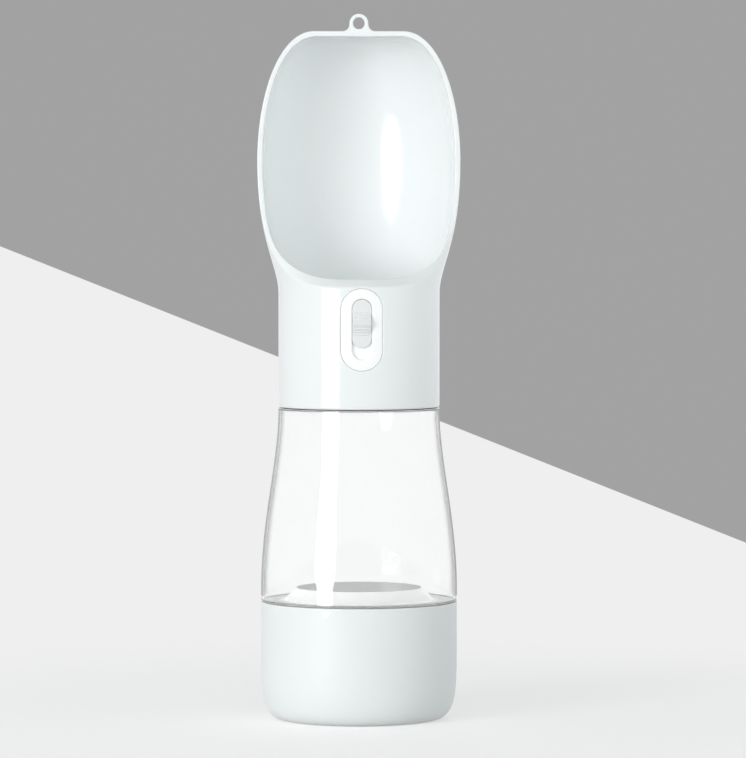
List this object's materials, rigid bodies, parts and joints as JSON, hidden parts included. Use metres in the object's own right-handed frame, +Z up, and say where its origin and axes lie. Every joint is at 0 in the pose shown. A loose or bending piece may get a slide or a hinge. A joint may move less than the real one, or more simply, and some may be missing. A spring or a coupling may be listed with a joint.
{
  "type": "dog travel water bottle",
  "caption": "Travel water bottle for a dog: a scoop-shaped drinking bowl with a lockable push-button valve, a clear screw-on bottle and a screw-on food cup.",
  "frame": {"origin": "middle of the base, on the surface that the food cup stands on", "axes": "+Z up along the bottle's axis; the bowl, the button and the lock face -Y; +X is to the right when the front is looked at"},
  "size_m": [0.0776, 0.0763, 0.2695],
  "materials": {
    "head_white": "gloss moulded ABS",
    "cup_white": "satin moulded polypropylene",
    "clear_plastic": "clear moulded copolyester",
    "button_white": "gloss moulded ABS",
    "lock_grey": "satin moulded ABS",
    "frame_grey": "moulded ABS",
    "valve_white": "moulded acetal",
    "silicone": "translucent white silicone",
    "o_ring_black": "black O-ring rubber",
    "spring_steel": "drawn stainless wire"
  },
  "bodies": {
    "food_cup": {"food_cup": "cup_white"},
    "cup_seal": {"cup_seal_ring": "silicone"},
    "bottle": {"water_bottle": "clear_plastic"},
    "neck_seal": {"neck_gasket": "silicone"},
    "head": {"head_shell": "head_white", "outlet_strainer": "valve_white", "valve_carrier": "frame_grey", "riser_seal": "silicone", "plunger_gland": "valve_white", "plunger_o_ring": "o_ring_black", "button_spring": "spring_steel", "valve_spring": "spring_steel"},
    "button": {"water_button": "button_white", "button_plunger": "valve_white"},
    "lock": {"lock_slider": "lock_grey", "lock_retainer": "valve_white"},
    "valve": {"valve_stem": "valve_white", "valve_seal": "silicone", "stem_collar": "valve_white"}
  },
  "joints": [
    {"name": "food_cup_rise", "type": "slide", "parent": "food_cup", "child": "cup_seal", "axis": [0, 0, 1], "range_m": [0, 0.012]},
    {"name": "food_cup_thread", "type": "hinge", "parent": "cup_seal", "child": "bottle", "pos_m": [0, 0, 0.04], "axis": [0, 0, 1], "range_deg": [0, 360]},
    {"name": "head_rise", "type": "slide", "parent": "bottle", "child": "neck_seal", "axis": [0, 0, 1], "range_m": [0, 0.014]},
    {"name": "head_thread", "type": "hinge", "parent": "neck_seal", "child": "head", "pos_m": [0, 0, 0.124], "axis": [0, 0, 1], "range_deg": [0, 720]},
    {"name": "button_press", "type": "slide", "parent": "head", "child": "button", "axis": [0, 1, 0], "range_m": [0, 0.003], "stiffness_N_per_m": 300, "springref_m": -0.005, "deforming": ["button_spring"]},
    {"name": "valve_travel", "type": "slide", "parent": "head", "child": "valve", "axis": [0, 0, -1], "range_m": [0, 0.003], "deforming": ["valve_spring"]},
    {"name": "lock_slide", "type": "slide", "parent": "button", "child": "lock", "axis": [0, 0, -1], "range_m": [0, 0.0043]}
  ],
  "couplings": [
    {"joint": "food_cup_rise", "follows": "food_cup_thread", "m_per_rad": 0.0019099},
    {"joint": "head_rise", "follows": "head_thread", "m_per_rad": 0.0011141},
    {"joint": "valve_travel", "follows": "button_press", "ratio": 1}
  ]
}
